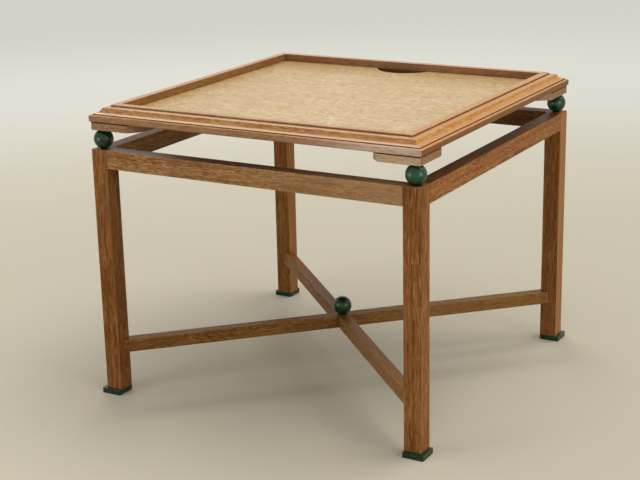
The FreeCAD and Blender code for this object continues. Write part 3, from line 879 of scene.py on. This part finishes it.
def baize_cloth(finish):
    """The cloth under the panel: its outline made as thick as the cloth, with softened edges."""
    low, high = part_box("panel_baize")
    outline = baize_outline(high.x)
    count = len(outline)
    points = [(x, y, z) for z in (low.z, high.z) for x, y in outline]
    edges = [(i, (i + 1) % count, count + (i + 1) % count, count + i) for i in range(count)]
    lower, upper = tuple(reversed(range(count))), tuple(range(count, 2 * count))
    mesh = bpy.data.meshes.new("baize_cloth")
    mesh.from_pydata(points, [], [lower, upper, *edges])
    shape = bmesh.new()
    shape.from_mesh(mesh)
    rims = [edge for edge in shape.edges if abs(edge.verts[0].co.z - edge.verts[1].co.z) < CUT_EDGE]
    bmesh.ops.bevel(shape, geom=rims, offset=CUT_EDGE, segments=2, profile=0.5, affect="EDGES")
    shape.to_mesh(mesh)
    shape.free()
    mesh.materials.append(finish)
    cloth = into_scene("baize_cloth", mesh)
    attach(cloth, "loose_panel")
    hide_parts("panel_baize")
    area_inside(outline)
    return cloth


baize_sheet = baize_cloth(baize)
print("the baize is", [round(size / MM) for size in baize_sheet.dimensions[:2]], "mm")

# %% [markdown]
# ## Screws
#
# Twenty countersunk screws show under the table. The solids have the right outline but no recess
# for a screwdriver. A screw is a shape that repeats, so Geometry Nodes make it: the tree builds one
# head, cuts the cross into it with a Boolean, adds the shank and point, and sets a copy on every
# point of a small mesh. Realize Instances turns the copies into real faces at the end. The heads
# are zinc plated steel, which is a bright grey with a faint cloudy dulling.

# %% The finish of the screws
SPANGLE_SIZE = 3 * MM
SCREW_DUST_AND_SHADE = 2 * MM


def zinc_plate():
    """Bright zinc plating on steel, slightly clouded."""
    material, tree, shader = new_material("zinc_plated_steel")
    cloud = round_marks(tree, SPANGLE_SIZE, SOFT_SPREAD)
    # Painted shade darkens the cross recess of each screw.
    layers = [(cloud, 1.0, "#c3c5c8"), (dust_and_shade_corners(tree, SCREW_DUST_AND_SHADE), 0.8, "#3a3836")]
    dulling = {"Value": cloud, "To Min": 0.25, "To Max": 0.45}
    fill(tree, shader, {
        "Base Color": layered(tree, "#9a9ca0", layers),
        "Metallic": 1.0,
        "Roughness": add(tree, "ShaderNodeMapRange", dulling).outputs["Result"],
    })
    return material


zinc = zinc_plate()
dress("ball_studs", zinc)
print("screw finish:", zinc.name)

# %% The tree that makes screws
SCREW_SIZES = ("Shank diameter", "Head diameter", "Head depth", "Length", "Slot width", "Slot depth")
HEAD_SIDES = 32
SHANK_SIDES = 16
SLOT_OVERRUN = 1.1


def screw_tree():
    """A Geometry Nodes tree that sets a cross-head screw, point up, on every point of a mesh."""
    tree = bpy.data.node_groups.new("countersunk_screws", "GeometryNodeTree")
    tree.interface.new_socket("Points", in_out="INPUT", socket_type="NodeSocketGeometry")
    for size in SCREW_SIZES:
        tree.interface.new_socket(size, in_out="INPUT", socket_type="NodeSocketFloat")
    tree.interface.new_socket("Finish", in_out="INPUT", socket_type="NodeSocketMaterial")
    tree.interface.new_socket("Screws", in_out="OUTPUT", socket_type="NodeSocketGeometry")
    sizes = add(tree, "NodeGroupInput").outputs

    # The head is a cone frustum with its wide end down, on the level of the points.
    shank, rim = [
        add(tree, "ShaderNodeMath", {0: sizes[diameter], 1: 2.0}, operation="DIVIDE").outputs[0]
        for diameter in ("Shank diameter", "Head diameter")
    ]
    deep = sizes["Head depth"]
    cone = {"Vertices": HEAD_SIDES, "Radius Top": shank, "Radius Bottom": rim, "Depth": deep}
    head = add(tree, "GeometryNodeMeshCone", cone).outputs["Mesh"]

    # Two crossed bars are cut out of it. Half of their depth lies below the head, in the air.
    doubling = {0: sizes["Slot depth"], 1: 2.0}
    depth = add(tree, "ShaderNodeMath", doubling, operation="MULTIPLY").outputs[0]
    reach = add(tree, "ShaderNodeMath", {0: rim, 1: SLOT_OVERRUN}, operation="MULTIPLY").outputs[0]
    cross = add(tree, "GeometryNodeMeshBoolean", operation="DIFFERENCE")
    tree.links.new(head, cross.inputs["Mesh 1"])
    for first, second in ((reach, sizes["Slot width"]), (sizes["Slot width"], reach)):
        extent = add(tree, "ShaderNodeCombineXYZ", {"X": first, "Y": second, "Z": depth}).outputs[0]
        bar = add(tree, "GeometryNodeMeshCube", {"Size": extent}).outputs["Mesh"]
        tree.links.new(bar, cross.inputs["Mesh 2"])

    # The shank runs from the head to the start of the point, which is as long as the shank is wide.
    under_head = {0: sizes["Length"], 1: deep}
    rest = add(tree, "ShaderNodeMath", under_head, operation="SUBTRACT").outputs[0]
    before_point = {0: rest, 1: sizes["Shank diameter"]}
    stem = add(tree, "ShaderNodeMath", before_point, operation="SUBTRACT").outputs[0]
    rod = {"Vertices": SHANK_SIDES, "Radius Top": shank, "Radius Bottom": shank, "Depth": stem}
    tip = {**rod, "Radius Top": 0.0, "Depth": sizes["Shank diameter"]}
    raised = add(tree, "ShaderNodeCombineXYZ", {"Z": deep}).outputs[0]
    full = add(tree, "ShaderNodeMath", {0: deep, 1: stem}, operation="ADD").outputs[0]
    above = add(tree, "ShaderNodeCombineXYZ", {"Z": full}).outputs[0]
    whole = add(tree, "GeometryNodeJoinGeometry")
    tree.links.new(cross.outputs["Mesh"], whole.inputs[0])
    for cone, offset in ((rod, raised), (tip, above)):
        solid = add(tree, "GeometryNodeMeshCone", cone).outputs["Mesh"]
        moved = {"Geometry": solid, "Translation": offset}
        placed = add(tree, "GeometryNodeTransform", moved).outputs[0]
        tree.links.new(placed, whole.inputs[0])

    copies = {"Points": sizes["Points"], "Instance": whole.outputs[0]}
    set_out = add(tree, "GeometryNodeInstanceOnPoints", copies).outputs[0]
    real = add(tree, "GeometryNodeRealizeInstances", {"Geometry": set_out}).outputs[0]
    plated = {"Geometry": real, "Material": sizes["Finish"]}
    finished = add(tree, "GeometryNodeSetMaterial", plated).outputs[0]
    add(tree, "NodeGroupOutput", {"Screws": finished})
    return tree


screws_tree = screw_tree()
print("screw tree has", len(screws_tree.nodes), "nodes")

# %% Set out the screws
def set_of_screws(name, node_name, places, sizes):
    """Real screws at the places, made with the tree, in the place of a CAD node."""
    mesh = bpy.data.meshes.new(name + "_points")
    mesh.from_pydata(places, [], [])
    source = into_scene(name + "_points", mesh)
    modifier = source.modifiers.new("screws", "NODES")
    modifier.node_group = screws_tree
    wanted = dict(zip(SCREW_SIZES, sizes), Finish=zinc)
    for item in screws_tree.interface.items_tree:
        if item.in_out == "INPUT" and item.name in wanted:
            modifier[item.identifier] = wanted[item.name]
    bpy.context.view_layer.update()
    evaluated = source.evaluated_get(bpy.context.evaluated_depsgraph_get())
    result = bpy.data.meshes.new_from_object(evaluated)
    bpy.data.objects.remove(source)
    piece = into_scene(name, result)
    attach(piece, "table")
    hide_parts(node_name)
    print(name, "has", len(places), "screws and", len(result.polygons), "faces")


# Each kind of screw has its sizes in the order of SCREW_SIZES.
FOOT_SCREW = (4 * MM, 8 * MM, 3 * MM, 40 * MM, 1.3 * MM, 1.6 * MM)
PAD_SCREW = (4 * MM, 8 * MM, 3 * MM, 34 * MM, 1.3 * MM, 1.6 * MM)
BOARD_SCREW_HEAD = 6 * MM
BOARD_SCREW = (3 * MM, BOARD_SCREW_HEAD, 2 * MM, 13 * MM, 1.0 * MM, 1.1 * MM)
PAD_SCREW_NEAR = 26 * MM
PAD_SCREW_FAR = 76 * MM
BOARD_SCREW_SPREAD = 200 * MM
QUARTERS = [Matrix.Rotation(math.radians(angle), 3, "Z") for angle in (0, 90, 180, 270)]


def screws_at(first_places):
    """The places of the front left corner, or the front side, repeated on all four."""
    return [turn @ Vector(place) for turn in QUARTERS for place in first_places]


leg_low, leg_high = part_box("leg_front_left")
leg_middle = (leg_low + leg_high) / 2
foot_places = screws_at([(leg_middle.x, leg_middle.y, 0.0)])
set_of_screws("foot_screws", "foot_plate_screws", foot_places, FOOT_SCREW)

pad_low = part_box("corner_pad_front_left")[0]
pad_places = screws_at([
    (pad_low.x + PAD_SCREW_FAR, pad_low.y + PAD_SCREW_NEAR, pad_low.z),
    (pad_low.x + PAD_SCREW_NEAR, pad_low.y + PAD_SCREW_FAR, pad_low.z),
])
set_of_screws("pad_screws", "corner_pad_screws", pad_places, PAD_SCREW)

board_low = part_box("bottom_board_screws")[0]
board_line = board_low.y + BOARD_SCREW_HEAD / 2
board_places = screws_at([(side * BOARD_SCREW_SPREAD, board_line, board_low.z) for side in (-1, 1)])
set_of_screws("board_screws", "bottom_board_screws", board_places, BOARD_SCREW)

# %% [markdown]
# ## Floor, backdrop and light
#
# The table stands on a plain pale floor in soft light from above, as in a room with a bright
# ceiling. A level face gets about twice the light of an upright one, which is what makes the frame
# and the panel glow above the darker stand. The world does most of this: as a lamp it is bright
# overhead and dim at the horizon, and it lights the whole floor evenly.
#
# Where the camera, or a reflection, looks at the world it is an even pale grey, so the background
# stays bright without washing out the wood. The floor is pale to the camera in the same way, but it
# throws less light back up than a really pale floor would. A wide soft sun from behind gives the
# shadow its direction. A high window behind the table is mirrored in the slopes of the moulding. Two
# low ones, to the left and right, put the soft lights on the balls and light the sides of the
# stand, and a large weak one near the camera fills its front.

# %% Build the studio
HORIZON_LIGHT = 0.06
ZENITH_LIGHT = 1.00
BACKDROP = "#e6e5dd"
FLOOR_NEAR = "#d5cdb6"
FLOOR_FAR = "#efeee5"
FLOOR_BOUNCE = "#8a8474"
FLOOR_REACH = 40.0
FLOOR_GRAIN = 6.25 * MM
FADE_FROM = 1.2
FADE_TO = 5.0


def seen_directly(tree):
    """A mask that is 1 where the camera, a reflection or a glass looks, and 0 for plain light."""
    path = add(tree, "ShaderNodeLightPath").outputs
    seen = path["Is Camera Ray"]
    for kind in ("Is Glossy Ray", "Is Transmission Ray"):
        seen = add(tree, "ShaderNodeMath", {0: seen, 1: path[kind]}, operation="MAXIMUM").outputs[0]
    return seen


def studio_world():
    """A world that is pale to the camera and to reflections, and a soft ceiling as a lamp."""
    world = bpy.data.worlds.new("studio")
    world.use_nodes = True
    tree = world.node_tree
    tree.nodes.clear()
    direction = add(tree, "ShaderNodeTexCoord").outputs["Generated"]
    height = add(tree, "ShaderNodeSeparateXYZ", {"Vector": direction}).outputs["Z"]
    upward = add(tree, "ShaderNodeMath", {0: height, 1: 0.0}, operation="MAXIMUM").outputs[0]
    squared = add(tree, "ShaderNodeMath", {0: upward, 1: 2.0}, operation="POWER").outputs[0]
    sky = {0: squared, 1: ZENITH_LIGHT, 2: HORIZON_LIGHT}
    strength = add(tree, "ShaderNodeMath", sky, operation="MULTIPLY_ADD").outputs[0]
    lamp = add(tree, "ShaderNodeBackground", {"Color": linear("#ffffff"), "Strength": strength})
    backdrop = add(tree, "ShaderNodeBackground", {"Color": linear(BACKDROP), "Strength": 1.0})
    parts = {0: seen_directly(tree), 1: lamp.outputs[0], 2: backdrop.outputs[0]}
    surface = add(tree, "ShaderNodeMixShader", parts).outputs[0]
    add(tree, "ShaderNodeOutputWorld", {"Surface": surface})
    return world


def pale_floor():
    """A wide plain floor, cream near the table and fading to the grey of the backdrop."""
    mesh = bpy.data.meshes.new("floor")
    corners = [(x * FLOOR_REACH, y * FLOOR_REACH, 0) for x, y in ((-1, -1), (1, -1), (1, 1), (-1, 1))]
    mesh.from_pydata(corners, [], [(0, 1, 2, 3)])
    floor = into_scene("floor", mesh)
    material, tree, shader = new_material("pale_floor")
    place = add(tree, "ShaderNodeTexCoord").outputs["Object"]
    distance = add(tree, "ShaderNodeVectorMath", {0: place}, operation="LENGTH").outputs["Value"]
    fading = {"Value": distance, "From Min": FADE_FROM, "From Max": FADE_TO}
    far = add(tree, "ShaderNodeMapRange", fading, interpolation_type="SMOOTHSTEP").outputs["Result"]
    screed = {"Vector": place, "Scale": 1 / FLOOR_GRAIN, "Detail": 2.0}
    grain = add(tree, "ShaderNodeTexNoise", screed).outputs["Fac"]
    tone = layered(tree, FLOOR_NEAR, [(far, 1.0, FLOOR_FAR), (grain, 0.10, "#8f8976")])
    choice = {0: seen_directly(tree), COLOUR_A: linear(FLOOR_BOUNCE), COLOUR_B: tone}
    colour = add(tree, "ShaderNodeMix", choice, data_type="RGBA").outputs[COLOUR_RESULT]
    fill(tree, shader, {"Base Color": colour, "Roughness": 0.9, "Specular IOR Level": 0.1})
    mesh.materials.append(material)


bpy.context.scene.world = studio_world()
pale_floor()
print("world and floor built")

# %% Light the table
TOP_MIDDLE = Vector((0.0, 0.0, 0.7))
FLOOR_MIDDLE = Vector((0.0, 0.0, 0.0))

# Each window: its place, its width and height in m, and its power in W.
WINDOWS = {
    "window_behind": ((-2.6, 3.2, 3.3), 2.4, 0.9, 34),
    "window_left": ((-1.5, -2.55, 0.70), 1.3, 1.0, 18),
    "window_front": ((1.9, -2.6, 1.3), 3.2, 2.0, 6),
    "window_right": ((4.3, -1.2, 1.35), 2.0, 1.6, 42),
}
SUN_PLACE = (0.9, 0.9, 2.0)
SUN_STRENGTH = 0.8
SUN_SPREAD = math.radians(45)


def hang_lamp(data, place, target):
    """Hang a lamp at its place and turn it to its target."""
    lamp = into_scene(data.name, data)
    lamp.location = place
    lamp.rotation_euler = (Vector(place) - target).to_track_quat("Z", "Y").to_euler()


for name, (place, width, height, power) in WINDOWS.items():
    window = bpy.data.lights.new(name, "AREA")
    window.shape = "RECTANGLE"
    window.size = width
    window.size_y = height
    window.energy = power
    hang_lamp(window, place, TOP_MIDDLE)
sun = bpy.data.lights.new("sky_behind", "SUN")
sun.energy = SUN_STRENGTH
sun.angle = SUN_SPREAD
hang_lamp(sun, SUN_PLACE, FLOOR_MIDDLE)
bpy.context.scene.view_settings.view_transform = "Standard"
